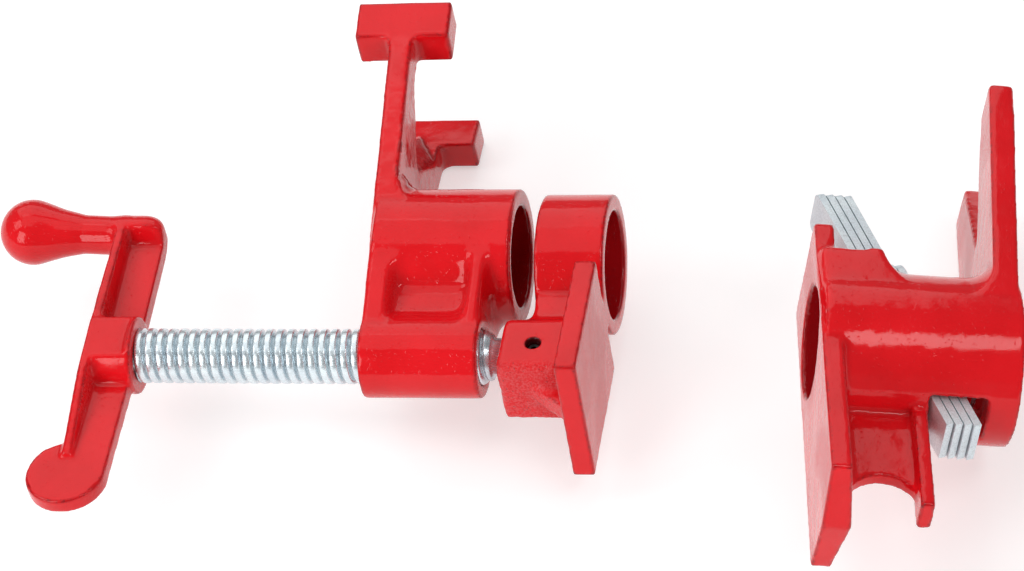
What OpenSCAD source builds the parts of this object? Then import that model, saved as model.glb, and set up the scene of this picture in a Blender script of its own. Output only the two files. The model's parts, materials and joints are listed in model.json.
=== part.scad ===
// Pipe clamp fixture set: screw head with sliding jaw, and a separate tail stop with clutch plates.
// Millimetres. X runs along the head's pipe axis towards the jaw, Y towards the feet, Z up.
// The origin is the centre of the mouth of the head's pipe socket.

/* [Pipe and bores] */
// Radius of the head's pipe socket
socket_bore_r = 13.4; // [12.8:0.1:13.8]
// Radius of the bores that slide along the pipe, in the jaw and the tail stop
slide_bore_r = 14.3; // [14:0.1:14.5]

/* [Head casting] */
// Length of the pipe socket along X
head_len = 37; // [34:0.5:40]
// Outer radius of the pipe socket
socket_r = 17.9; // [17.5:0.1:19]
// Distance from the pipe axis to the screw axis
screw_drop = 34.7; // [34:0.1:36]
// Outer radius of the screw boss
boss_r = 10.8; // [10.2:0.1:11.5]
// Thickness of the plate that carries the legs
leg_t = 6.2; // [5.5:0.1:7]
// Height of the foot soles above the pipe axis
foot_y = 67.2; // [64:0.1:70]
// Half width over the feet
foot_z = 28.2; // [27.5:0.1:30]
// Length of a foot along X
foot_len = 25.9; // [24:0.1:30]

/* [Screw] */
// Outer radius of the thread
thread_r = 7.3; // [7:0.1:7.6]
// Depth of the thread
thread_depth = 1.35; // [1:0.05:1.5]
// Pitch of the thread
thread_pitch = 2.93; // [2.6:0.01:3.2]
// Radius of the smooth tip that turns in the jaw
tip_r = 5; // [4.8:0.1:5.2]

/* [Crank] */
// Distance from the screw axis to the knob axis
knob_reach = 41.9; // [40:0.1:46]
// Distance from the screw axis to the centre of the paddle
paddle_reach = 41.6; // [39:0.1:43]
// Width of the arm along X
arm_w = 12.4; // [12:0.1:13]
// Radius of the knob's bulb
bulb_r = 9; // [8.6:0.1:9.6]
// Radius of the thumb paddle
paddle_r = 10.6; // [9:0.1:11]

/* [Sliding jaw] */
// Outer radius of the ring round the pipe
ring_r = 18.6; // [18:0.1:19]
// Length of the ring along X
ring_len = 18.5; // [17:0.1:19]
// Half width of the clamping plate
plate_half = 19.8; // [18:0.1:21]
// Thickness of the clamping plate
plate_t = 5.8; // [5.2:0.1:6.2]
// How far the jaw hangs round the screw axis, in degrees
jaw_hang = 5.2; // [0:0.1:6]

/* [Tail stop] */
// Length of the tail casting along its pipe axis
tail_len = 51; // [50:0.5:54]
// Outer radius of the barrel
barrel_r = 21.1; // [20.8:0.1:21.8]
// Half width of the tail's clamping plate at its lower end
tail_plate_half = 18.7; // [17.5:0.1:19.2]
// Thickness of the tail's clamping plate
tail_plate_t = 5; // [4.7:0.1:5.4]
// Depth of the tail's clamping plate below the pipe axis
tail_plate_low = 62; // [60:0.5:64]
// Height of the tail's leg ends above the pipe axis
tail_leg_y = 73.2; // [72:0.1:76]
// Half width over the tail's legs
tail_leg_z = 26.7; // [26:0.1:28]

/* [Clutch] */
// Number of clutch plates
clutch_count = 4; // [4:1:4]
// Thickness of a clutch plate
clutch_t = 1.9; // [1.6:0.1:1.9]
// Spacing of the plates along the pipe axis
clutch_pitch = 2.35; // [2.2:0.05:2.4]
// Lean of the plates from square to the pipe, in degrees
clutch_lean = 20; // [18:0.1:20.5]
// Radius of the clutch spring's wire
wire_r = 0.6; // [0.5:0.05:0.7]

/* [Hidden] */
$fn = 64;
// Overlap of joined solids and overrun of cuts: hidden, short and long
eps = 0.01;
lap = 1;
past = 10;

red = "#c8141e";
zinc = "#b9c2c8";
steel = "#8d9298";

// Head: the boss is shorter than the socket, and the leg plate leans a little to the left
boss_end = -5.5;
leg_lean = 2;
socket_depth = 31;
stop_r = 11;
thread_clear = 0.1;
web_half = 7;
rib_t = 4.4;
notch_low = 32;
notch_from = 47;
notch_back_low = 43;
notch_back_from = 63;
notch_half = 1.6;
notch_round = 3;
notch_edge = 0.3;
foot_low = 11.2;
foot_t = 9.3;
foot_taper = 1.7;
foot_under = 2.2;
foot_dip = 0.4;
leg_foot_x = 3.4;
foot_turn = 1;
fillet_r = 2.6;
head_fillet = 3;
head_fillet_in = 0.8;
rib_in = 0.6;

// Screw: everything along X from the crank hub to the tip
hub_r = 10.3;
crank_x = -105.7;
hub_reach = 7.2;
hub_in = crank_x + hub_reach;
shank_r = 6;
flare = 1;
thread_end = -2.2;
thread_flat = 0.3;
thread_slope = 0.2;
chamfer = 0.6;
tip_end = 14.9;
pad_t = 1.5;
fit = 0.05;
pin_x = 9.6;
pin_drop = 4.5;
pin_r = 1.5;
pin_clear = 0.1;
pin_sink = 2;
pin_slit = 0.4;

// Crank: the arm is an angle section, with its web on the outer side
floor_top = 0.2;
floor_t = 4.8;
paddle_rise = 3.6;
web_t = 2.8;
web_top = 8;
knob_end_half = 5.8;
end_round = 4;
end_top = 0.8;
end_foot = 3.4;
knob_neck_r = 5.3;
knob_len = 40.5;
knob_waist_r = 6.6;
knob_waist_at = 9;
knob_neck_at = 15;
knob_root = 0.6;
knob_tilt = 3;
bulb_turn = 20;
paddle_shift = -4.2;
paddle_blend = 0.9;
web_stop = 5;

// Jaw: measured from the screw axis
jaw_face = 24.7;
block_left = 0.6;
block_half = 9.8;
block_low = 13;
block_top = 8.5;
block_slope = 4.5;
jaw_plate_low = 23.4;
jaw_plate_top = 15.9;
neck_half = 7;
neck_in = 0.8;
gusset_from = 7;
gusset_half = 3;
gusset_stop = 2;

// Tail: its own frame has the pipe axis on X, the legs on +Y and the centre of its clamping face at 0
tail_at = [82.13, -41.15, 14.3];
tail_turn = [-2.84, 14.39, 7.66];
tail_plate_top = 26.8;
tail_plate_vee = 3.3;
tail_plate_taper = 1.5;
barrel_drop = 3.2;
tail_plate_back = 2.4;
tail_back_from = 6;
cavity_r = 17.3;
cavity_drop = 1;
cavity_from = 8.2;
cavity_to = 43.5;
collar_end = 16.6;
collar_y = 15.5;
collar_half = 20;
slot_half = 12.8;
slot_end = 38;
window_half = 7.2;
window_to = 43;
window_gap = 0.7;
tail_leg_t = 6.5;
tail_leg_lean = 2.6;
tail_notch_low = 38;
tail_notch_half = 13.2;
tail_notch_edge = 0.3;
tail_leg_cut = 1.5;
tail_leg_in = 0.5;
tail_web_t = 3.8;
tail_rib_x = 25.2;
tail_rib_t = 3.6;
tail_rib_half = 4.5;
tail_rib_low = 56.6;
tail_web_low = 58;
arch_r = 9.6;
arch_up = 3;
arch_turn = 53.13;
tail_fillet = 7;
tail_fillet_in = 0.6;

// Clutch: plates lean about the point where the middle of the stack crosses the pipe axis
clutch_x = 25;
clutch_hole_r = 13.9;
clutch_disc_r = 15.6;
clutch_up = 51.4;
clutch_down = 32.9;
tab_half = 6.3;
shoulder_half = 12;
shoulder_up = 21.5;
shoulder_round = 5;
tab_round = 2;
spring_turns = 3;
spring_r = 15.4;
spring_clear = 0.3;
spring_sides = 6;
spring_rings = 12;

// A prism along X of an outline drawn as [y, z]
module along_x(from, length) {
    translate([from, 0, 0]) rotate([90, 0, 90]) linear_extrude(length) children();
}

// A round bar along X
module bar(from, to, r, y = 0) {
    translate([from, y, 0]) rotate([0, 90, 0]) cylinder(h = to - from, r = r);
}

// The outline round two circles on the Y axis, with straight sides that touch both
module round_pair(r1, r2, drop) {
    lean = (r1 - r2) / drop;
    side = sqrt(1 - lean * lean);
    circle(r1);
    translate([-drop, 0]) circle(r2);
    polygon([[r1 * lean, r1 * side], [r2 * lean - drop, r2 * side],
             [r2 * lean - drop, -r2 * side], [r1 * lean, -r1 * side]]);
}

// Material left in a corner by a fillet, in the first quadrant
module corner(r) {
    difference() {
        translate([-eps, -eps]) square(r + eps);
        translate([r, r]) circle(r);
    }
}

// A fillet ring round a barrel on X, filling the corner at x on its -X or +X side
module ring_fillet(x, r, size, side) {
    translate([x, 0, 0]) rotate([0, 90 * side, 0]) rotate_extrude() translate([r, 0]) corner(size);
}

// The legs as one outline that narrows to the screw boss, before the notch is cut
module leg_outline() {
    polygon([[foot_y, foot_z], [foot_y - foot_low, foot_z - foot_taper], [-screw_drop, boss_r - lap],
             [-screw_drop, lap - boss_r], [foot_y - foot_low, foot_taper - foot_z], [foot_y, -foot_z]]);
}

// The notch on one side of the leg plate: level with the feet as far as from, then closing at low
module notch_outline(low, from) {
    wide = foot_z - foot_t + notch_edge;
    slope = foot_under / (foot_low + foot_dip);
    half = wide - slope * (foot_y - from);
    polygon([[foot_y + lap, wide], [from, half], [low, notch_half], [low, -notch_half], [from, -half],
             [foot_y + lap, -wide]]);
}

// The notch between the legs, with a floor that ramps up to the left side of the plate
module notch() {
    hull() {
        along_x(-lap, lap) notch_outline(notch_back_low, notch_back_from);
        along_x(leg_t, lap) notch_outline(notch_low, notch_from);
    }
}

// One T foot across the end of a leg, with fillets to the leg
module foot() {
    left = leg_foot_x - foot_len / 2;
    fillet_len = foot_t - foot_dip;
    outline = [[foot_y, foot_z], [foot_y - foot_low, foot_z - foot_taper],
               [foot_y - foot_low - foot_dip, foot_z - foot_t - foot_under], [foot_y, foot_z - foot_t]];
    translate([leg_foot_x, foot_y, 0]) rotate([0, 0, -foot_turn]) translate([-leg_foot_x, -foot_y, 0])
        along_x(left, foot_len) polygon(outline);
    for (side = [0, 1])
        translate([side * leg_t, foot_y - foot_low, foot_z - foot_taper - fillet_len])
            mirror([1 - side, 0, 0]) mirror([0, 1, 0]) linear_extrude(fillet_len) corner(fillet_r);
}

module leg_plate() {
    translate([-head_len, -screw_drop, 0]) rotate([0, 0, leg_lean]) translate([0, screw_drop, 0]) {
        difference() {
            along_x(0, leg_t) leg_outline();
            notch();
        }
        foot();
        mirror([0, 0, 1]) foot();
    }
}

module head_casting() {
    color(red) difference() {
        union() {
            leg_plate();
            bar(-head_len, 0, socket_r);
            intersection() {
                ring_fillet(leg_t - head_len - head_fillet_in, socket_r, head_fillet, 1);
                along_x(-head_len, head_fillet + leg_t) leg_outline();
            }
            bar(-head_len, boss_end, boss_r, -screw_drop);
            along_x(boss_end - rib_t, rib_t - rib_in) round_pair(socket_r, boss_r, screw_drop);
            translate([-head_len + lap, -screw_drop, -web_half])
                cube([head_len + boss_end - 2 * lap, screw_drop, 2 * web_half]);
        }
        bar(-socket_depth, lap, socket_bore_r);
        bar(-head_len - past, lap, stop_r);
        bar(-head_len - past, lap, thread_r + thread_clear, -screw_drop);
    }
}

// Half the screw's section, as [radius, place along X], with the thread as ridges at its pitch
module screw_section() {
    root_r = thread_r - thread_depth;
    flat = thread_pitch * thread_flat;
    slope = thread_pitch * thread_slope;
    count = floor((thread_end - hub_in - lap) / thread_pitch);
    ridges = [for (i = [0 : count - 1], p = [[root_r, 0], [thread_r, slope], [thread_r, slope + flat],
                   [root_r, 2 * slope + flat]]) [p[0], hub_in + chamfer + i * thread_pitch + p[1]]];
    groove_r = pin_drop - pin_r - pin_clear;
    groove = pin_r + pin_clear;
    hub_out = crank_x - arm_w / 2;
    polygon(concat([[0, hub_out], [shank_r + flare, hub_out], [shank_r, hub_out + flare], [shank_r, hub_in],
        [root_r, hub_in]], ridges,
        [[root_r, thread_end - chamfer], [tip_r, thread_end], [tip_r, pin_x - groove],
         [groove_r, pin_x - groove], [groove_r, pin_x + groove], [tip_r, pin_x + groove],
         [tip_r, tip_end - chamfer], [tip_r - chamfer, tip_end], [0, tip_end]]));
}

module screw() {
    color(zinc) translate([0, -screw_drop, 0]) rotate([0, 90, 0]) rotate_extrude() screw_section();
}

// The crank seen from above: straight arm, rounded knob end, round paddle
module crank_plan() {
    half = arm_w / 2;
    difference() {
        translate([-half, 0]) square([arm_w, knob_reach + knob_end_half]);
        translate([half, knob_reach + knob_end_half]) rotate(180) corner(end_round);
    }
    polygon([[-half, 0], [half, 0], [paddle_shift + paddle_r, -paddle_reach],
             [paddle_shift - paddle_r, -paddle_reach], [-half, paddle_r * paddle_blend - paddle_reach]]);
    translate([paddle_shift, -paddle_reach]) circle(paddle_r);
}

// The crank seen from its end face: level floor of the upper arm, and the lower arm rising to the paddle
module crank_floor() {
    end = paddle_reach + paddle_r;
    reach = knob_reach + knob_end_half;
    polygon([[reach, floor_top], [reach, floor_top - floor_t], [0, floor_top - floor_t],
             [-end, floor_top - floor_t + paddle_rise], [-end, floor_top + paddle_rise], [0, floor_top]]);
}

// The web on the outer side, deepest at the hub
module crank_web() {
    rib_end = paddle_reach - web_stop;
    polygon([[knob_reach, knob_end_half], [knob_reach, -knob_end_half], [0, -web_top],
             [-hub_r, floor_top - floor_t], [-rib_end, floor_top], [-rib_end, floor_top + paddle_rise],
             [-hub_r, web_top], [0, web_top]]);
}

// The end wall that carries the knob: round outside, and sloping down to the arm's floor inside
module crank_end() {
    end = knob_reach + knob_end_half;
    intersection() {
        translate([knob_reach, 0]) circle(knob_end_half);
        polygon([[knob_reach - end_top, knob_end_half], [end, knob_end_half], [end, -knob_end_half],
                 [knob_reach - knob_end_half, -knob_end_half], [knob_reach - end_foot, floor_top]]);
    }
}

// The knob turned about its own axis: a bulb that narrows to a neck at the arm's web
module knob() {
    stop = knob_len - arm_w / 2 + web_t - lap;
    translate([0, knob_reach, 0]) rotate([0, 90, -knob_tilt]) translate([0, 0, -knob_len]) rotate_extrude() {
        intersection() {
            translate([0, bulb_r]) circle(bulb_r);
            square([bulb_r, 2 * bulb_r]);
        }
        polygon([[0, bulb_r], [bulb_r * cos(bulb_turn), bulb_r * (1 + sin(bulb_turn))],
                 [knob_waist_r, bulb_r + knob_waist_at], [knob_neck_r, bulb_r + knob_neck_at],
                 [knob_neck_r, knob_len - bulb_r], [knob_neck_r + knob_root, stop], [0, stop]]);
    }
}

module crank_handle() {
    half = arm_w / 2;
    color(red) translate([crank_x, -screw_drop, 0]) difference() {
        union() {
            intersection() {
                translate([0, 0, -web_top]) linear_extrude(2 * web_top) crank_plan();
                union() {
                    along_x(-half - past, arm_w + 2 * past) crank_floor();
                    along_x(-half, web_t) crank_web();
                    along_x(-half, arm_w) crank_end();
                }
            }
            intersection() {
                bar(-half, half, hub_r);
                translate([-half - lap, -hub_r - lap, -hub_r])
                    cube([arm_w + 2 * lap, 2 * (hub_r + lap), hub_r + web_top]);
            }
            bar(half - eps, hub_in - crank_x, hub_r);
            knob();
        }
        bar(-half - lap, hub_in - crank_x + lap, shank_r);
        translate([-half, 0, 0]) rotate([0, 90, 0]) cylinder(h = flare, r1 = shank_r + flare, r2 = shank_r);
    }
}

// Places a piece drawn round the screw axis as the jaw hangs
module on_jaw() {
    translate([0, -screw_drop, 0]) rotate([-jaw_hang, 0, 0]) children();
}

module thrust_pad() {
    color(steel) bar(tip_end + fit, tip_end + fit + pad_t, tip_r - pin_clear, -screw_drop);
}

// The jaw block seen along the screw, with sloping upper shoulders
module block_outline() {
    slope_z = block_half - block_slope;
    slope_y = block_top - block_slope;
    polygon([[-block_low, block_half], [slope_y, block_half], [block_top, slope_z], [block_top, -slope_z],
             [slope_y, -block_half], [-block_low, -block_half]]);
}

module sliding_jaw() {
    ring_from = jaw_face - ring_len;
    plate_from = jaw_face - plate_t;
    gusset_y = lap - block_low;
    gusset = [[plate_from + lap, gusset_y], [block_left + gusset_from, gusset_y],
              [plate_from + lap, gusset_stop - jaw_plate_low]];
    color(red) on_jaw() difference() {
        union() {
            bar(ring_from, jaw_face, ring_r, screw_drop);
            translate([plate_from, -jaw_plate_low, -plate_half])
                cube([plate_t, jaw_plate_low + jaw_plate_top, 2 * plate_half]);
            along_x(block_left, plate_from - block_left + lap) block_outline();
            translate([ring_from + neck_in, 0, -neck_half])
                cube([plate_from - ring_from, screw_drop - slide_bore_r - lap, 2 * neck_half]);
            translate([0, 0, -gusset_half]) linear_extrude(2 * gusset_half) polygon(gusset);
        }
        bar(-lap, jaw_face + lap, slide_bore_r, screw_drop);
        bar(-lap, tip_end + fit + pad_t, tip_r + fit);
        translate([pin_x, -pin_drop, -block_half - lap]) cylinder(h = 2 * (block_half + lap), r = pin_r);
    }
}

// A hollow spring pin, set a little below the faces of the block
module jaw_pin() {
    length = 2 * (block_half - pin_sink);
    color(steel) on_jaw() translate([pin_x, -pin_drop, -length / 2]) difference() {
        cylinder(h = length, r = pin_r);
        translate([0, 0, -lap]) cylinder(h = length + 2 * lap, r = pin_r / 2);
        translate([0, -pin_slit / 2, -lap]) cube([pin_r + lap, pin_slit, length + 2 * lap]);
    }
}

// Places a piece drawn in the tail stop's own frame
module on_tail() {
    translate(tail_at) rotate(tail_turn) children();
}

// Two legs with a notch between them, narrowing to the barrel
module tail_leg_outline() {
    cut_y = tail_leg_y - tail_leg_cut;
    cut_z = tail_leg_z - tail_leg_cut;
    root_r = barrel_r - tail_leg_in;
    difference() {
        union() {
            polygon([[cut_y, tail_leg_z], [tail_leg_y, cut_z], [tail_leg_y, -cut_z], [cut_y, -tail_leg_z],
                     [-barrel_drop, -root_r], [-barrel_drop, root_r]]);
            translate([-barrel_drop, 0]) circle(root_r);
        }
        polygon([[tail_leg_y + lap, tail_notch_half + tail_notch_edge],
                 [tail_notch_low + notch_round, notch_half], [tail_notch_low, 0],
                 [tail_notch_low + notch_round, -notch_half],
                 [tail_leg_y + lap, -tail_notch_half - tail_notch_edge]]);
    }
}

// The tail's clamping plate, with a shallow V along its lower edge
module tail_plate_outline() {
    round_r = 2.5;
    top_half = tail_plate_half - tail_plate_taper;
    corner_y = tail_plate_top - round_r;
    corner_z = top_half - round_r;
    low_y = tail_plate_vee - tail_plate_low;
    for (side = [-1, 1])
        translate([corner_y, side * corner_z]) circle(round_r);
    translate([0, -corner_z]) square([tail_plate_top, 2 * corner_z]);
    polygon([[corner_y, -top_half], [low_y, -tail_plate_half], [-tail_plate_low, 0],
             [low_y, tail_plate_half], [corner_y, top_half]]);
}

// The plate's section across its width, thickest in the middle
module tail_plate_section() {
    side = tail_plate_half + lap;
    polygon([[lap, -side], [tail_plate_t, -side], [tail_plate_t + tail_plate_back, 0], [tail_plate_t, side],
             [lap, side]]);
}

// The web below the barrel with its arched edge, seen from the side as [x, y]
module tail_web_outline() {
    low = -tail_web_low;
    left = tail_plate_t + tail_plate_back;
    arch_x = tail_rib_x - arch_r;
    arch_y = low + arch_up;
    difference() {
        translate([tail_plate_t - lap, low])
            square([tail_rib_x - tail_plate_t + lap, tail_web_low - barrel_r]);
        translate([arch_x, arch_y]) circle(arch_r);
        polygon([[left, low - lap], [tail_rib_x, low - lap], [tail_rib_x, arch_y],
                 [arch_x - arch_r * cos(arch_turn), arch_y + arch_r * sin(arch_turn)], [left, low + lap]]);
    }
}

// The window under the clutch plates, whose front edge leans with them, seen from the side as [x, y]
function window_front(y) = clutch_x - (clutch_count - 1) / 2 * clutch_pitch - window_gap
    - clutch_t / 2 / cos(clutch_lean) - y * tan(clutch_lean);

module window_outline() {
    top = -barrel_drop - lap;
    low = -barrel_drop - barrel_r - lap;
    polygon([[window_front(top), top], [window_front(low), low], [window_to, low], [window_to, top]]);
}

// Shoulders behind the plate, which run down to the barrel in a fillet
module tail_collar() {
    drop = collar_y + barrel_drop;
    reach = sqrt(drop * drop + collar_half * collar_half) + lap;
    intersection() {
        translate([lap, 0, -collar_half]) cube([collar_end + tail_fillet, collar_y, 2 * collar_half]);
        union() {
            bar(lap, collar_end, reach, -barrel_drop);
            translate([0, -barrel_drop, 0]) ring_fillet(collar_end - eps, barrel_r, reach - barrel_r, 1);
        }
    }
}

module tail_casting() {
    leg_x = tail_len - tail_leg_t;
    color(red) on_tail() difference() {
        union() {
            along_x(0, tail_plate_t) tail_plate_outline();
            intersection() {
                translate([0, -tail_back_from, 0]) rotate([90, 0, 0])
                    linear_extrude(tail_plate_low) tail_plate_section();
                along_x(0, tail_plate_t + tail_plate_back) tail_plate_outline();
            }
            bar(lap, tail_len, barrel_r, -barrel_drop);
            tail_collar();
            translate([leg_x, barrel_r, 0]) rotate([0, 0, -tail_leg_lean]) translate([0, -barrel_r, 0])
                along_x(0, tail_leg_t) tail_leg_outline();
            intersection() {
                translate([0, -barrel_drop, 0])
                    ring_fillet(leg_x + tail_fillet_in, barrel_r, tail_fillet, -1);
                along_x(leg_x - tail_fillet, tail_fillet + lap) tail_leg_outline();
            }
            translate([0, 0, -tail_web_t / 2]) linear_extrude(tail_web_t) tail_web_outline();
            translate([tail_rib_x - lap, -tail_rib_low, -tail_rib_half])
                cube([tail_rib_t, tail_rib_low - barrel_r + 2 * lap, 2 * tail_rib_half]);
        }
        bar(-lap, tail_len + lap, slide_bore_r);
        bar(cavity_from, cavity_to, cavity_r, -cavity_drop);
        translate([cavity_from, 0, -slot_half])
            cube([slot_end - cavity_from, barrel_r + past, 2 * slot_half]);
        translate([0, 0, -window_half]) linear_extrude(2 * window_half) window_outline();
    }
}

// One clutch plate, drawn square to the pipe with its middle on the axis
module clutch_plate(index) {
    place = (index - (clutch_count + 1) / 2) * clutch_pitch;
    shoulder_y = shoulder_up - shoulder_round;
    shoulder_z = shoulder_half - shoulder_round;
    tab_y = clutch_up - tab_round;
    tab_z = tab_half - tab_round;
    color(zinc) on_tail() translate([clutch_x + place, 0, 0]) rotate([0, 0, clutch_lean])
        along_x(-clutch_t / 2, clutch_t) difference() {
            union() {
                circle(clutch_disc_r);
                translate([0, -shoulder_half]) square([shoulder_y, 2 * shoulder_half]);
                translate([0, -shoulder_z]) square([shoulder_up, 2 * shoulder_z]);
                translate([-clutch_down, -tab_half]) square([clutch_down + tab_y, 2 * tab_half]);
                translate([0, -tab_z]) square([clutch_up, 2 * tab_z]);
                for (side = [-1, 1]) {
                    translate([shoulder_y, side * shoulder_z]) circle(shoulder_round);
                    translate([tab_y, side * tab_z]) circle(tab_round);
                }
            }
            circle(clutch_hole_r);
        }
}

module clutch_plate_1() { clutch_plate(1); }
module clutch_plate_2() { clutch_plate(2); }
module clutch_plate_3() { clutch_plate(3); }
module clutch_plate_4() { clutch_plate(4); }

// The spring winds from a flat seat in the barrel to the leaning face of the last plate
function spring_left(y) = clutch_x + (clutch_count - 1) / 2 * clutch_pitch + wire_r + spring_clear
    + clutch_t / 2 / cos(clutch_lean) - y * tan(clutch_lean);
function spring_x(y, share) = cavity_to - wire_r - share * (cavity_to - wire_r - spring_left(y));
function spring_point(share) = let (turn = 360 * spring_turns * share, y = spring_r * sin(turn))
    [spring_x(y, share), y, spring_r * cos(turn)];
function spring_ring(share) = let (turn = 360 * spring_turns * share, middle = spring_point(share))
    [for (i = [0 : spring_sides - 1]) let (a = 360 * i / spring_sides)
        middle + wire_r * [cos(a), sin(a) * sin(turn), sin(a) * cos(turn)]];

module clutch_spring() {
    rings = spring_turns * spring_rings;
    points = [for (i = [0 : rings]) each spring_ring(i / rings)];
    sides = [for (i = [0 : rings - 1], j = [0 : spring_sides - 1])
        let (a = i * spring_sides, next = (j + 1) % spring_sides)
            [a + j, a + next, a + spring_sides + next, a + spring_sides + j]];
    first = [for (j = [spring_sides - 1 : -1 : 0]) j];
    last = [for (j = [0 : spring_sides - 1]) rings * spring_sides + j];
    gap = (cavity_to - wire_r - spring_left(-spring_r)) / spring_turns - 2 * wire_r;
    echo(spring_gap = gap);
    color(steel) on_tail() polyhedron(points, concat([first], sides, [last]));
}

head_casting();
screw();
crank_handle();
thrust_pad();
sliding_jaw();
jaw_pin();
tail_casting();
clutch_plate_1();
clutch_plate_2();
clutch_plate_3();
clutch_plate_4();
clutch_spring();
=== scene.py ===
"""Looks of a pipe clamp fixture set: enamelled castings, a plated screw and plated clutch plates."""

import json
import math

import bpy
import numpy as np
from mathutils import Matrix, Vector, noise


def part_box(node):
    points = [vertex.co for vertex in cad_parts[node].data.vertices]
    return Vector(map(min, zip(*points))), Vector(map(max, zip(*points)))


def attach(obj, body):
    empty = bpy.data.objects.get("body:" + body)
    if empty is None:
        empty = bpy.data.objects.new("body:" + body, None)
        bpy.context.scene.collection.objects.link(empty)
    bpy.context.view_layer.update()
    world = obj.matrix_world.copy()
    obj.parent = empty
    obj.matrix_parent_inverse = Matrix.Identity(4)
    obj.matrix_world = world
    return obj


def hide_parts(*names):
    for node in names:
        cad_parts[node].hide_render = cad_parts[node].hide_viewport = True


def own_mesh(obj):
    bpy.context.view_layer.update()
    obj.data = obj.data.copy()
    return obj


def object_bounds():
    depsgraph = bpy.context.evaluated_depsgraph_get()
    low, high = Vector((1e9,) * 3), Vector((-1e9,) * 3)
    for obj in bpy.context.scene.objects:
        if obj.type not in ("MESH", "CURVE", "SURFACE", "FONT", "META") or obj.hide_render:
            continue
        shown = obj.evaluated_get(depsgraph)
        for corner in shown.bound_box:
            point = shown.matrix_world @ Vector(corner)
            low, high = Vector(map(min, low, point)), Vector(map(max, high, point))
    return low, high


MM = 0.001

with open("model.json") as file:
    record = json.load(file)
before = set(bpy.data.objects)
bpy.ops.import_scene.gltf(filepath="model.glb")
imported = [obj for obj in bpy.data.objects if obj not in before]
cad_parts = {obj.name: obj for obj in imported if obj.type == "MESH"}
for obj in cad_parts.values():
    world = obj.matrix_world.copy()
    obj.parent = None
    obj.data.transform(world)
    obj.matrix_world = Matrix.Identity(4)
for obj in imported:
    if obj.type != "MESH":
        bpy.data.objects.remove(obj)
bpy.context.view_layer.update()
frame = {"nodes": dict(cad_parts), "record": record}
nodes = frame["nodes"]
mounts = {mount["name"]: mount for mount in frame["record"]["mounts"]}

# Camera, fitted to the photograph: place in metres, and its right, up and back directions
CAMERA_AT = (0.2433, -0.7674, 0.8787)
CAMERA_RIGHT = (0.97844, 0.13574, -0.15567)
CAMERA_UP = (0.0, 0.7537, 0.6572)
CAMERA_BACK = (0.20654, -0.64303, 0.73745)
CAMERA_LENS_MM = 158.2
CAMERA_SENSOR_MM = 36
CAMERA_SHIFT = (0.0007, -0.0248)

# Castings: node, body, rounds of fillet growth and rounds of edge rounding
CASTINGS = (
    ("head_casting", "head", 13, 4),
    ("crank_handle", "screw", 11, 5),
    ("sliding_jaw", "jaw", 13, 4),
    ("tail_casting", "tail", 11, 4),
)
CAST_VOXEL = 0.5 * MM
# Corners that keep the size they have in the CAD: node and a box in millimetres
CRISP = (
    ("sliding_jaw", (5.5, -44, 3), (13.7, -34, 14)),
    ("head_casting", (-40, 8, -24), (-20, 34, 24)),
)
# Hollows with wider fillets than the rest: node, a box in millimetres and further rounds
HOLLOWS = (
    ("head_casting", (-40, -34, 4), (-3, -6, 22), 70),
    ("head_casting", (-40, -34, -22), (-3, -6, -4), 70),
    ("tail_casting", (78, -28, -12), (99, -13, 37), 40),
)
# Corners that are rounder than the rest: node, a box in millimetres and further rounds
SOFTER = (
    ("sliding_jaw", (-2, -52, -16), (17.5, -20, 16), 24),
    ("crank_handle", (-112, 5, -12), (-94, 18, 12), 10),
    ("tail_casting", (84, -47, 26), (98, -19, 37), 40),
    ("tail_casting", (76, -47, -14), (90, -19, -2), 40),
    ("head_casting", (-40, -32, 4), (-4, -8, 24), 12),
    ("head_casting", (-40, -32, -24), (-4, -8, -4), 12),
    ("tail_casting", (110, 30, -40), (140, 42, 40), 14),
)
# Distance over which the effect of a box fades in from its faces
BOX_BLEND = 2.5 * MM
# Growth of fillets in a round: the least hollow that grows, and the shares outwards and along the skin
GROW_LEAST = 0.012 * CAST_VOXEL
GROW_OUT = 0.8
GROW_ALONG = 0.3
SMOOTH_SHARE = 0.5
# Bend of the skin, in voxels, that counts as a full hollow or edge, and the rounds that even it out
BEND_FULL = 1 / 9
BEND_ROUNDS = 3
# Domed end of the crank: Y of its axis, X where the dome starts and ends, its blend and how far it closes
DOME_Y = 7.2 * MM
DOME_X = (-105.0 * MM, -99.5 * MM)
DOME_BLEND = 4 * MM
DOME_CLOSE = 0.7
# The hole over the jaw pin: where the painted shade on its wall and its widened mouth fade in, and how far it
# is widened
PIN_SHADE = (2.1 * MM, 1.8 * MM)
PIN_MOUTH = (2.7 * MM, 1.7 * MM)
PIN_WIDER = 0.4 * MM
LEAST_ARM = 0.01 * MM
# Bores whose walls are painted darker as painted shade: node and the mount that states the axis and the
# radius
SHADED_BORES = (
    ("head_casting", "head_pipe_socket"),
    ("sliding_jaw", "jaw_pipe_ring"),
    ("tail_casting", "tail_front_bore"),
    ("tail_casting", "tail_rear_bore"),
)
BORE_EDGE = 0.5 * MM

# Unevenness of the skin: noise scale per metre and height
SKIN_COARSE = (70.0, 0.09 * MM)
SKIN_FINE = (260.0, 0.03 * MM)
SKIN_BEADS = (330.0, 0.3 * MM)
SKIN_ROUGH = (620.0, 0.2 * MM)
SKIN_RUNS = (260.0, 0.35 * MM)
# Paint runs on the head, between leg and socket: a box in millimetres, the stretch along X, the noise
# that makes runs, and the X of the normals that take them
RUNS_BOX = ((-36, 9, -24), (-16, 30, 24))
RUNS_STRETCH = (0.45, 1, 1)
RUNS_RANGE = (-0.175, 0.075)
RUNS_SLOPE = (0.075, 0.2)
RUNS_STEEPEST = 0.97
# Gritty sides that face along X: X of their normals, and the noise that makes patches
GRIT_UPRIGHT = (0.5, 1.0)
GRIT_SCALE = 55.0
GRIT_RANGE = (-0.14, 0.26)
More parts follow.
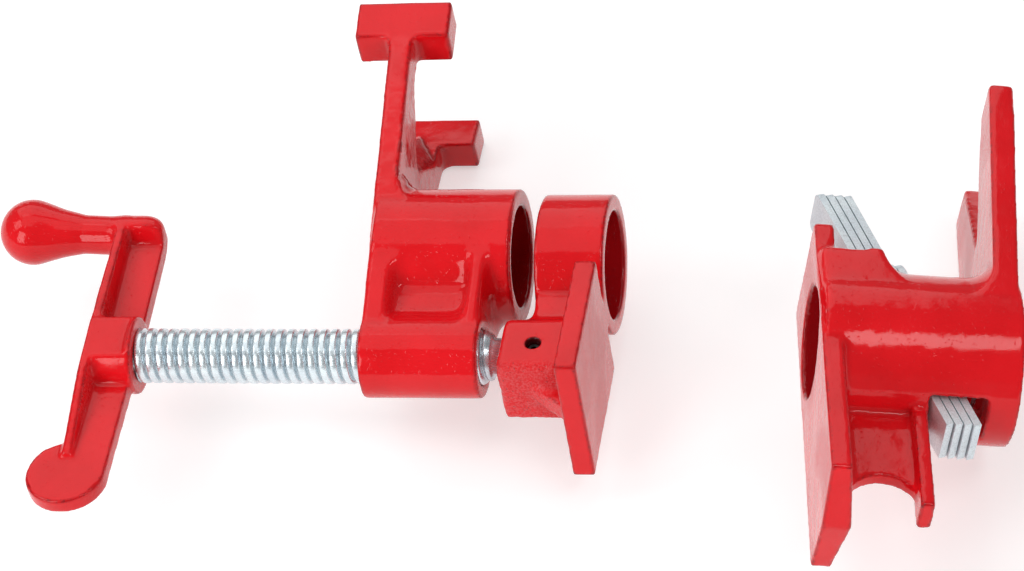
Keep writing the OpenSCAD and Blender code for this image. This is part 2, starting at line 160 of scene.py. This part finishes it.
# Places left as rough as the sand mould: node and a box in millimetres, and the way they face
ROUGH = (
    ("sliding_jaw", (-2, -64, -30), (19, -43, 30)),
    ("head_casting", (-44, 28, -19.5), (-31, 70, 19.5)),
)
ROUGH_WAY = (0, -1, -0.3)
ROUGH_FACING = (-0.6, 0.4)
# Slopes in the notch of the head's leg, painted dark as painted shade: X of their normals and the share of
# painted shade
NOTCH_UPRIGHT = (0.96, 0.91)
NOTCH_FLAT = (0.2, 0.3)
NOTCH_SHADE = 0.5

# Screw, as in the CAD: axis, pitch and radii, the ends of the thread, and how finely it is drawn
SCREW_Y = -34.7 * MM
THREAD_PITCH = 2.93 * MM
THREAD_R = 7.3 * MM
THREAD_ROOT_R = 5.95 * MM
THREAD_FIRST = -98.4 * MM
THREAD_LAST = -2.6 * MM
THREAD_STEPS = 14
SCREW_SIDES = 72
# Thread over one turn, in shares of the pitch: half a ridge at its root, its flank, and the dome of its crest
RIDGE_HALF = 0.48
RIDGE_FLANK = 0.22
RIDGE_DOME = 0.8
# Plain ends of the screw, in millimetres: the flare and shank in the crank's hub, and X and radius of the tip
FLARE_R = 7.0
FLARE_LENGTH = 1
SHANK_R = 6.0
SHANK_END = -98.5
TIP = ((-2.2, 5.0), (7.9, 5.0), (8.0, 2.9), (11.2, 2.9), (11.3, 5.0), (14.3, 5.0))
TIP_END_R = 4.4
# share of painted shade on the plain ends of the screw
PLAIN_SHADE = 0.3

# Clutch plates and spring: welding distance, eased edge, the angle that counts as an edge, and the number of
# plates
WELD_WITHIN = 0.002 * MM
PLATE_EASE = 0.22 * MM
PLATE_EDGE_ANGLE = math.radians(50)
PLATE_COUNT = 4

# Colours of the enamel, of the zinc and of the steels
RED = (0.82, 0.008, 0.014)
RED_MOTTLED = (0.73, 0.006, 0.010)
# painted shade on the walls of the bores
RED_BORE_SHADE = (0.26, 0.004, 0.006)
# painted shade in the hollows, partly pooled paint
RED_POOLED_AND_SHADED = (0.30, 0.003, 0.005)
# painted shade along the edges
RED_EDGE_SHADE = (0.24, 0.004, 0.006)
CHIPPED = (0.10, 0.010, 0.012)
# painted shade in the jaw's pin hole and on the slopes of the head's notch
HOLE_AND_NOTCH_SHADE = (0.06, 0.003, 0.004)
PITTED = (0.10, 0.008, 0.010)
# pale specks: partly dust, partly painted glints
DUST_AND_GLINTS = (0.85, 0.22, 0.23)
ZINC = (0.84, 0.93, 0.96)
ZINC_CLOUD = (0.70, 0.79, 0.85)
ZINC_STREAK = (0.50, 0.54, 0.57)
# painted shade in the thread's grooves
ZINC_GROOVE_SHADE = (0.28, 0.35, 0.40)
ZINC_SPECK = (0.30, 0.33, 0.33)
STREAK_STRETCH = (0.06, 1.0, 1.0)
SPRING_STEEL = ((0.42, 0.43, 0.45), (0.24, 0.24, 0.25))
# pin steel, darkened further as painted shade of the hole over it
PIN_STEEL_SHADED = ((0.12, 0.11, 0.11), (0.05, 0.045, 0.045))

# Floor: half its width in metres, its shade, and the glow that the camera and reflections see
FLOOR_HALF = 3
FLOOR_SHADE = (0.7, 0.7, 0.7)
FLOOR_GLOW = 0.5
WHITE = (1.0, 1.0, 1.0)
WORLD_STRENGTH = 0.25
# Soft panels: name, place, aim and size in metres, radiance, and whether gloss mirrors them
PANELS = (
    ("right_softbox", (0.62, -0.32, 1.1), (0.1, 0.0, 0.0), (0.6, 0.24), 5.4, True),
    ("left_window", (-0.56, -0.75, 0.42), (-0.13, 0.0, 0.0), (0.42, 0.6), 4.6, True),
    ("left_overhead", (-0.85, -0.15, 0.85), (0.0, 0.0, 0.0), (0.5, 0.5), 2.8, True),
    ("back_ceiling", (-0.25, 0.85, 0.85), (0.0, 0.0, 0.0), (1.4, 0.9), 1.15, True),
    ("top_ceiling", (-0.25, 0.05, 1.35), (0.0, 0.0, 0.0), (1.1, 1.0), 0.85, True),
    ("front_fill", (0.55, -0.75, 0.14), (0.1, 0.0, 0.0), (0.8, 0.3), 2.8, False),
)


def link(obj):
    bpy.context.scene.collection.objects.link(obj)
    return obj


def mesh_object(name, points, faces):
    mesh = bpy.data.meshes.new(name)
    mesh.from_pydata([tuple(p) for p in points], [], [tuple(f) for f in faces])
    mesh.update()
    mesh.shade_smooth()
    return link(bpy.data.objects.new(name, mesh))


def copy_of(node, name):
    """A new object with a copy of a CAD node's mesh and no material."""
    obj = link(bpy.data.objects.new(name, nodes[node].data.copy()))
    obj.data.materials.clear()
    return obj


def add_modifier(obj, kind, **values):
    modifier = obj.modifiers.new(kind.lower(), kind)
    for key, value in values.items():
        setattr(modifier, key, value)


def applied(obj):
    """Puts the object's mesh with its modifiers in place of its own mesh."""
    bpy.context.view_layer.update()
    depsgraph = bpy.context.evaluated_depsgraph_get()
    mesh = bpy.data.meshes.new_from_object(obj.evaluated_get(depsgraph))
    obj.modifiers.clear()
    obj.data = mesh
    mesh.shade_smooth()


def painted(obj, material):
    obj.data.materials.clear()
    obj.data.materials.append(material)


def finished(obj, node, body, material):
    """Gives a piece its material and its body, and hides the CAD node that it stands for."""
    painted(obj, material)
    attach(obj, body)
    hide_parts(node)


def read(collection, key, size, kind=np.float64):
    values = np.empty(len(collection) * size, dtype=kind)
    collection.foreach_get(key, values)
    return values.reshape(-1, size)


def write_points(mesh, co):
    mesh.vertices.foreach_set("co", co.ravel())
    mesh.update()


def set_attribute(mesh, name, values):
    attribute = mesh.attributes.new(name, "FLOAT", "POINT")
    attribute.data.foreach_set("value", np.asarray(values, dtype=np.float32))


class Neighbours:
    """Averages over the neighbours of each vertex."""

    def __init__(self, mesh):
        edges = read(mesh.edges, "vertices", 2, np.int64)
        self.a = np.concatenate([edges[:, 0], edges[:, 1]])
        self.b = np.concatenate([edges[:, 1], edges[:, 0]])
        self.size = len(mesh.vertices)
        self.count = np.maximum(np.bincount(self.a, minlength=self.size), 1)

    def mean(self, values):
        if values.ndim == 1:
            return np.bincount(self.a, values[self.b], self.size) / self.count
        return np.stack([self.mean(column) for column in values.T], axis=1)


def dot(a, b):
    return np.einsum("ij,ij->i", a, b)


def ramp(values, start, end):
    """0 at start and before it, rising to 1 at end."""
    return np.clip((values - start) / (end - start), 0, 1)


def noise_at(co, scale):
    return np.array([noise.noise(Vector(p) * scale) for p in co])


def inside(co, low, high):
    """1 well inside a box in millimetres, falling to 0 at its faces."""
    depth = np.minimum(co - np.array(low) * MM, np.array(high) * MM - co).min(axis=1)
    return ramp(depth, 0, BOX_BLEND)


def rows_of(table, node):
    """What a table says of one node."""
    return [row[1:] for row in table if row[0] == node]


def grow_fillets(mesh, near, rounds, share):
    """Moves hollow corners outwards until they are filleted, and leaves edges alone."""
    co = read(mesh.vertices, "co", 3)
    for _ in range(rounds):
        normals = read(mesh.vertex_normals, "vector", 3)
        step = near.mean(co) - co
        rise = dot(step, normals)
        slide = step - rise[:, None] * normals
        rise = share * np.maximum((rise + near.mean(rise)) / 2 - GROW_LEAST, 0)
        co = co + GROW_OUT * rise[:, None] * normals + GROW_ALONG * slide
        write_points(mesh, co)
    return co


def smoothed(co, near, rounds, share):
    for _ in range(rounds):
        co = co + SMOOTH_SHARE * share * (near.mean(co) - co)
    return co


def domed(co):
    """Rounds off the crank's end over its side that faces the screw."""
    along = ramp(co[:, 0], *DOME_X)
    share = ramp(co[:, 1], DOME_Y - DOME_BLEND, DOME_Y)
    scale = 1 - share * (1 - np.sqrt(1 - DOME_CLOSE * along ** 2))
    return np.stack([co[:, 0], DOME_Y + (co[:, 1] - DOME_Y) * scale, co[:, 2] * scale], axis=1)


def formed(mesh, near, node, fillet_rounds, edge_rounds):
    """Points of a casting with grown fillets and rounded edges."""
    co = read(mesh.vertices, "co", 3)
    if node == "crank_handle":
        co = domed(co)
        write_points(mesh, co)
    free = np.ones(len(co))
    for low, high in rows_of(CRISP, node):
        free = 1 - inside(co, low, high)
    co = grow_fillets(mesh, near, fillet_rounds, free)
    for low, high, rounds in rows_of(HOLLOWS, node):
        co = grow_fillets(mesh, near, rounds, inside(co, low, high))
    co = smoothed(co, near, edge_rounds, 1.0)
    for low, high, rounds in rows_of(SOFTER, node):
        co = smoothed(co, near, rounds, (free * inside(co, low, high))[:, None])
    return co


def pin_distance(co):
    """Distance of points from the jaw pin's axis, and the direction away from it."""
    pin = read(nodes["jaw_pin"].data.vertices, "co", 3)
    middle = pin.mean(axis=0)
    axis = np.linalg.svd(pin - middle, full_matrices=False)[2][0]
    arm = co - middle
    away = arm - (arm @ axis)[:, None] * axis
    distance = np.linalg.norm(away, axis=1)
    return distance, away / np.maximum(distance, LEAST_ARM)[:, None]


def bore_shade_share(co, node):
    """1 on the walls of a node's bores, where the enamel is painted darker as painted shade, and 0 elsewhere.
    """
    share = np.zeros(len(co))
    for (name,) in rows_of(SHADED_BORES, node):
        axis = np.array(mounts[name]["axis"])
        arm = co - np.array(mounts[name]["pos_m"])
        away = np.linalg.norm(arm - (arm @ axis)[:, None] * axis, axis=1)
        radius = mounts[name]["dims"]["r_mm"] * MM
        share = np.maximum(share, ramp(away, radius + BORE_EDGE, radius))
    return share


def paint_runs(co, normal_x):
    """Runs of thick paint in the corner between the head's leg and its socket."""
    corner = inside(co, *RUNS_BOX) * ramp(normal_x, *RUNS_SLOPE) * (normal_x < RUNS_STEEPEST)
    return corner * ramp(noise_at(co * np.array(RUNS_STRETCH), SKIN_RUNS[0]), *RUNS_RANGE)


def cast_piece(node, body, fillet_rounds, edge_rounds, material):
    """A copy of a CAD casting with grown fillets, rounded edges and an uneven skin."""
    obj = copy_of(node, node + "_cast")
    add_modifier(obj, "REMESH", mode="VOXEL", voxel_size=CAST_VOXEL)
    applied(obj)
    mesh = obj.data
    near = Neighbours(mesh)
    co = formed(mesh, near, node, fillet_rounds, edge_rounds)
    dark = np.zeros(len(co))
    if node == "sliding_jaw":
        distance, away = pin_distance(co)
        # painted shade on the wall of the hole over the jaw pin
        dark = ramp(distance, *PIN_SHADE)
        co = co + PIN_WIDER * ramp(distance, *PIN_MOUTH)[:, None] * away
    write_points(mesh, co)
    normals = read(mesh.vertex_normals, "vector", 3)
    normal_x = normals[:, 0]
    bend = dot(near.mean(co) - co, normals) / CAST_VOXEL
    for _ in range(BEND_ROUNDS):
        bend = (bend + near.mean(bend)) / 2
    hollow = ramp(bend, 0, BEND_FULL)
    skin = sum(height * noise_at(co, scale) for scale, height in (SKIN_COARSE, SKIN_FINE))
    skin += SKIN_BEADS[1] * hollow * np.maximum(noise_at(co, SKIN_BEADS[0]), 0)
    if node == "head_casting":
        runs = paint_runs(co, normal_x)
        # the runs join the hollows, which the enamel paints darker: painted shade, partly pooled paint
        hollow = np.maximum(hollow, runs)
        skin += SKIN_RUNS[1] * runs
    grit = ramp(np.abs(normal_x), *GRIT_UPRIGHT) * ramp(noise_at(co, GRIT_SCALE), *GRIT_RANGE)
    # walls of the bores, on which the enamel paints shade
    bore_shade = bore_shade_share(co, node)
    for low, high in rows_of(ROUGH, node):
        rough = inside(co, low, high) * (1 - bore_shade)
        grit = np.maximum(grit, rough * ramp(normals @ np.array(ROUGH_WAY), *ROUGH_FACING))
        skin += SKIN_ROUGH[1] * grit * rough * noise_at(co, SKIN_ROUGH[0])
        if node == "head_casting":
            # painted shade on the slopes of the notch in the head's leg
            slope = ramp(normal_x, *NOTCH_UPRIGHT) * ramp(normal_x, *NOTCH_FLAT)
            dark = np.maximum(dark, NOTCH_SHADE * rough * slope)
    write_points(mesh, co + skin[:, None] * normals)
    set_attribute(mesh, "edge", ramp(-bend, 0, BEND_FULL))
    # hollows, which the enamel paints darker: painted shade, partly pooled paint
    set_attribute(mesh, "hollow", hollow)
    set_attribute(mesh, "grit", grit)
    set_attribute(mesh, "bore_shade", bore_shade)
    # painted shade in the pin hole and on the slopes of the notch
    set_attribute(mesh, "dark", dark)
    finished(obj, node, body, material)


def thread_radius(x, turn):
    """Radius of the rolled thread at a place along X and an angle about the axis, in radians."""
    phase = (x / THREAD_PITCH - turn / (2 * math.pi)) % 1.0
    off = abs(phase - 0.5)
    crest = min(1.0, max(0.0, (RIDGE_HALF - off) / RIDGE_FLANK))
    crest = crest * crest * (3 - 2 * crest) * (1 - RIDGE_DOME * off * off)
    fade = min(1.0, (THREAD_LAST - x) / THREAD_PITCH)
    return THREAD_ROOT_R + (THREAD_R - THREAD_ROOT_R) * crest * fade


def screw_rows():
    """Places along the screw, each with its radius, or with None where the thread is."""
    low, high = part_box("screw")
    start = low.x / MM
    shank = ((start, FLARE_R), (start + FLARE_LENGTH, SHANK_R), (SHANK_END, SHANK_R))
    rows = [(x * MM, r * MM) for x, r in shank]
    count = int((THREAD_LAST - THREAD_FIRST) / THREAD_PITCH * THREAD_STEPS)
    rows += [(THREAD_FIRST + i * THREAD_PITCH / THREAD_STEPS, None) for i in range(count + 1)]
    rows += [(x * MM, r * MM) for x, r in TIP + ((high.x / MM, TIP_END_R),)]
    return rows


def screw_piece(material):
    """The screw with a true right-hand thread, round its own axis."""
    rows = screw_rows()
    points, depth = [], []
    for x, plain in rows:
        for j in range(SCREW_SIDES):
            turn = 2 * math.pi * j / SCREW_SIDES
            radius = plain or thread_radius(x, turn)
            points.append((x, SCREW_Y + radius * math.cos(turn), radius * math.sin(turn)))
            depth.append(PLAIN_SHADE if plain else (THREAD_R - radius) / (THREAD_R - THREAD_ROOT_R))
    faces = []
    for i in range(len(rows) - 1):
        for j in range(SCREW_SIDES):
            a, b = i * SCREW_SIDES + j, i * SCREW_SIDES + (j + 1) % SCREW_SIDES
            faces.append((a, a + SCREW_SIDES, b + SCREW_SIDES, b))
    end = (len(rows) - 1) * SCREW_SIDES
    faces += [tuple(range(SCREW_SIDES)), tuple(range(end + SCREW_SIDES - 1, end - 1, -1))]
    obj = mesh_object("screw_thread", points, faces)
    # depth of the thread, which the zinc paints as shade in the grooves
    set_attribute(obj.data, "hollow", np.clip(depth, 0, 1))
    finished(obj, "screw", "screw", material)


def plate_piece(node, body, material):
    """A copy of a blanked plate with its sheared edges eased."""
    obj = copy_of(node, node + "_blank")
    add_modifier(obj, "WELD", merge_threshold=WELD_WITHIN)
    add_modifier(obj, "BEVEL", width=PLATE_EASE, segments=2, limit_method="ANGLE",
                 angle_limit=PLATE_EDGE_ANGLE)
    applied(obj)
    add_modifier(obj, "WEIGHTED_NORMAL", keep_sharp=True)
    applied(obj)
    finished(obj, node, body, material)


def spring_piece(material):
    """A copy of the clutch spring with round wire."""
    obj = copy_of("clutch_spring", "clutch_spring_coil")
    add_modifier(obj, "WELD", merge_threshold=WELD_WITHIN)
    add_modifier(obj, "SUBSURF", levels=2, render_levels=2)
    applied(obj)
    finished(obj, "clutch_spring", "tail", material)
    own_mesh(obj)


class Shader:
    """A short way to write a material's nodes."""

    def __init__(self, name):
        self.material = bpy.data.materials.new(name)
        self.material.use_nodes = True
        self.tree = self.material.node_tree
        self.bsdf = self.tree.nodes["Principled BSDF"]
        self.place = self.add("ShaderNodeTexCoord").outputs["Object"]

    def add(self, kind, **values):
        node = self.tree.nodes.new(kind)
        for key, value in values.items():
            setattr(node, key, value)
        return node

    def put(self, socket, value):
        """Sets a socket to a value, or links another socket to it."""
        if isinstance(value, (int, float)):
            socket.default_value = value
        elif isinstance(value, tuple):
            socket.default_value = value + (1.0,)
        else:
            self.tree.links.new(value, socket)

    def set(self, **values):
        for key, value in values.items():
            self.put(self.bsdf.inputs[key.replace("_", " ")], value)

    def noise(self, scale, detail=3.0, rough=0.5, place=None):
        node = self.add("ShaderNodeTexNoise")
        node.inputs["Scale"].default_value = scale
        node.inputs["Detail"].default_value = detail
        node.inputs["Roughness"].default_value = rough
        self.put(node.inputs["Vector"], place or self.place)
        return node.outputs["Fac"]

    def spread(self, source, low, high, to_low=0.0, to_high=1.0):
        node = self.add("ShaderNodeMapRange")
        for key, value in zip(("Value", "From Min", "From Max", "To Min", "To Max"),
                              (source, low, high, to_low, to_high)):
            self.put(node.inputs[key], value)
        return node.outputs["Result"]

    def math(self, kind, a, b):
        node = self.add("ShaderNodeMath", operation=kind)
        self.put(node.inputs[0], a)
        self.put(node.inputs[1], b)
        return node.outputs["Value"]

    def times(self, a, b):
        return self.math("MULTIPLY", a, b)

    def mix(self, share, a, b):
        node = self.add("ShaderNodeMix", data_type="RGBA")
        self.put(node.inputs["Factor"], share)
        self.put(node.inputs[6], a)
        self.put(node.inputs[7], b)
        return node.outputs[2]

    def attribute(self, name):
        return self.add("ShaderNodeAttribute", attribute_name=name).outputs["Fac"]

    def bump(self, height, strength, distance, normal=None):
        node = self.add("ShaderNodeBump")
        self.put(node.inputs["Strength"], strength)
        self.put(node.inputs["Distance"], distance)
        self.put(node.inputs["Height"], height)
        if normal:
            self.put(node.inputs["Normal"], normal)
        return node.outputs["Normal"]


def enamel_material():
    """Glossy red enamel over cast iron: orange peel, gritty sides and chipped edges, with painted shade in
    the hollows (partly pooled paint), in the bores, the pin hole and the notch and along the edges, and pale
    specks that are partly dust and partly painted glints.
    """
    s = Shader("red_enamel_paint")
    hollow, edge, grit = s.attribute("hollow"), s.attribute("edge"), s.attribute("grit")
    mottle = s.spread(s.noise(75, 4), 0.35, 0.7)
    colour = s.mix(mottle, RED, RED_MOTTLED)
    # painted shade on the walls of the bores
    colour = s.mix(s.times(s.attribute("bore_shade"), 0.8), colour, RED_BORE_SHADE)
    # painted shade in the hollows, partly pooled paint
    colour = s.mix(s.times(hollow, 0.75), colour, RED_POOLED_AND_SHADED)
    # a broken dark line along the edges: painted shade
    broken = s.spread(s.noise(420, 3, 0.6), 0.3, 0.6, 0.35, 1.0)
    edge_shade = s.times(broken, s.spread(edge, 0.35, 0.85, 0.0, 0.6))
    colour = s.mix(edge_shade, colour, RED_EDGE_SHADE)
    chips = s.spread(s.noise(1000, 5, 0.6), 0.56, 0.62)
    chips = s.times(chips, s.spread(edge, 0.35, 0.8, 0.0, 0.6))
    colour = s.mix(chips, colour, CHIPPED)
    # painted shade in the jaw's pin hole and on the slopes of the head's notch
    colour = s.mix(s.attribute("dark"), colour, HOLE_AND_NOTCH_SHADE)
    pits = s.spread(s.noise(1900, 3, 0.5), 0.64, 0.69)
    pits = s.times(pits, s.spread(grit, 0.2, 0.8, 0.08, 0.8))
    colour = s.mix(pits, colour, PITTED)
    # pale specks on the gritty sides: partly dust, partly painted glints
    dust_and_glints = s.times(s.spread(s.noise(1700, 4, 0.6), 0.44, 0.62), s.times(grit, 0.26))
    colour = s.mix(dust_and_glints, colour, DUST_AND_GLINTS)
    sheen = s.spread(s.noise(160, 3), 0.3, 0.7, 0.05, 0.11)
    peel = s.bump(s.noise(430, 2, 0.4), 0.09, 0.3 * MM)
    skin = s.bump(s.noise(1500, 2, 0.5), 0.06, 0.1 * MM, peel)
    pimples = s.bump(s.spread(s.noise(1250, 1, 0.5), 0.66, 0.76), 0.3, 0.2 * MM, skin)
    rough = s.bump(s.noise(900, 5, 0.65), s.spread(grit, 0.0, 1.0, 0.02, 0.6), 0.3 * MM, pimples)
    sand = s.bump(s.noise(2600, 2, 0.5), s.spread(grit, 0.0, 1.0, 0.0, 0.7), 0.15 * MM, rough)
    s.set(Base_Color=colour, Roughness=s.math("ADD", sheen, s.times(grit, 0.06)),
          Specular_IOR_Level=0.3, Normal=sand)
    return s.material


def zinc_material(name, metal, rough, groove_shade, grain):
    """Bright zinc plate: fine streaks along X, a faint blue tint, painted shade in the grooves and a mottled
    grain.
    """
    s = Shader(name)
    stretch = s.add("ShaderNodeMapping")
    stretch.inputs["Scale"].default_value = STREAK_STRETCH
    s.put(stretch.inputs["Vector"], s.place)
    streaks = s.noise(2600, 3, 0.6, stretch.outputs["Vector"])
    cloud = s.spread(s.noise(140, 4, 0.6), 0.3, 0.7)
    colour = s.mix(cloud, ZINC, ZINC_CLOUD)
    colour = s.mix(s.spread(streaks, 0.52, 0.74, 0.0, 0.25), colour, ZINC_STREAK)
    # painted shade in the thread's grooves and on the plain ends of the screw
    colour = s.mix(s.times(s.attribute("hollow"), groove_shade), colour, ZINC_GROOVE_SHADE)
    speckle = s.noise(2300, 4, 0.7)
    colour = s.mix(s.spread(speckle, 0.45, 0.65, 0.0, grain), colour, ZINC_SPECK)
    grained = s.bump(speckle, grain, 0.1 * MM)
    s.set(Base_Color=colour, Metallic=metal, Roughness=s.spread(streaks, 0.3, 0.7, *rough),
          Normal=s.bump(streaks, 0.14, 0.08 * MM, grained))
    return s.material


def steel_material(name, bright, dark):
    """Dull steel with a mottled oxide film."""
    s = Shader(name)
    film = s.spread(s.noise(900, 4, 0.6), 0.35, 0.7)
    s.set(Base_Color=s.mix(film, bright, dark), Metallic=1.0,
          Roughness=s.spread(film, 0.0, 1.0, 0.32, 0.5),
          Normal=s.bump(s.noise(3000, 2), 0.1, 0.05 * MM))
    return s.material


def floor_material():
    """White floor that stays white to the camera and in reflections, and keeps a soft shadow."""
    s = Shader("white_floor")
    path = s.add("ShaderNodeLightPath").outputs
    seen = s.math("MAXIMUM", path["Is Camera Ray"], path["Is Glossy Ray"])
    seen = s.math("MAXIMUM", seen, path["Is Transmission Ray"])
    s.set(Base_Color=FLOOR_SHADE, Roughness=0.9, Emission_Color=WHITE,
          Emission_Strength=s.times(seen, FLOOR_GLOW))
    return s.material


def area_light(name, at, aim, size, radiance, mirrored):
    """A soft rectangular panel of a given radiance, which gloss may or may not mirror."""
    lamp = bpy.data.lights.new(name, "AREA")
    lamp.shape = "RECTANGLE"
    lamp.size, lamp.size_y = size
    lamp.energy = radiance * math.pi * size[0] * size[1]
    obj = link(bpy.data.objects.new(name, lamp))
    obj.location = at
    obj.rotation_euler = (Vector(aim) - Vector(at)).to_track_quat("-Z", "Y").to_euler()
    obj.visible_glossy = mirrored


def light_world():
    world = bpy.data.worlds.new("studio")
    bpy.context.scene.world = world
    world.use_nodes = True
    background = world.node_tree.nodes["Background"].inputs
    background["Color"].default_value = WHITE + (1.0,)
    background["Strength"].default_value = WORLD_STRENGTH


def place_camera():
    camera = bpy.data.cameras.new("camera")
    camera.lens = CAMERA_LENS_MM
    camera.sensor_width = CAMERA_SENSOR_MM
    camera.shift_x, camera.shift_y = CAMERA_SHIFT
    obj = link(bpy.data.objects.new("camera", camera))
    axes = Matrix((CAMERA_RIGHT, CAMERA_UP, CAMERA_BACK)).transposed().to_4x4()
    obj.matrix_world = Matrix.Translation(CAMERA_AT) @ axes
    bpy.context.scene.camera = obj


enamel = enamel_material()
for node, body, fillet_rounds, edge_rounds in CASTINGS:
    cast_piece(node, body, fillet_rounds, edge_rounds, enamel)
screw_piece(zinc_material("zinc_plate_screw", metal=0.8, rough=(0.2, 0.36), groove_shade=0.45, grain=0.12))
plates = zinc_material("zinc_plate_blanks", metal=0.45, rough=(0.3, 0.46), groove_shade=0.0, grain=0.35)
for index in range(1, PLATE_COUNT + 1):
    plate_piece(f"clutch_plate_{index}", f"clutch_{index}", plates)
spring_steel = steel_material("dull_spring_steel", *SPRING_STEEL)
spring_piece(spring_steel)
# pin painted dark: painted shade of the hole over it
painted(nodes["jaw_pin"], steel_material("shaded_pin_steel", *PIN_STEEL_SHADED))
painted(nodes["thrust_pad"], spring_steel)

floor_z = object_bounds()[0][2]
corners = [(x * FLOOR_HALF, y * FLOOR_HALF, floor_z) for x, y in ((-1, -1), (1, -1), (1, 1), (-1, 1))]
floor = mesh_object("floor", corners, [(0, 1, 2, 3)])
painted(floor, floor_material())

light_world()
for panel in PANELS:
    area_light(*panel)
place_camera()
bpy.context.scene.view_settings.view_transform = "Standard"
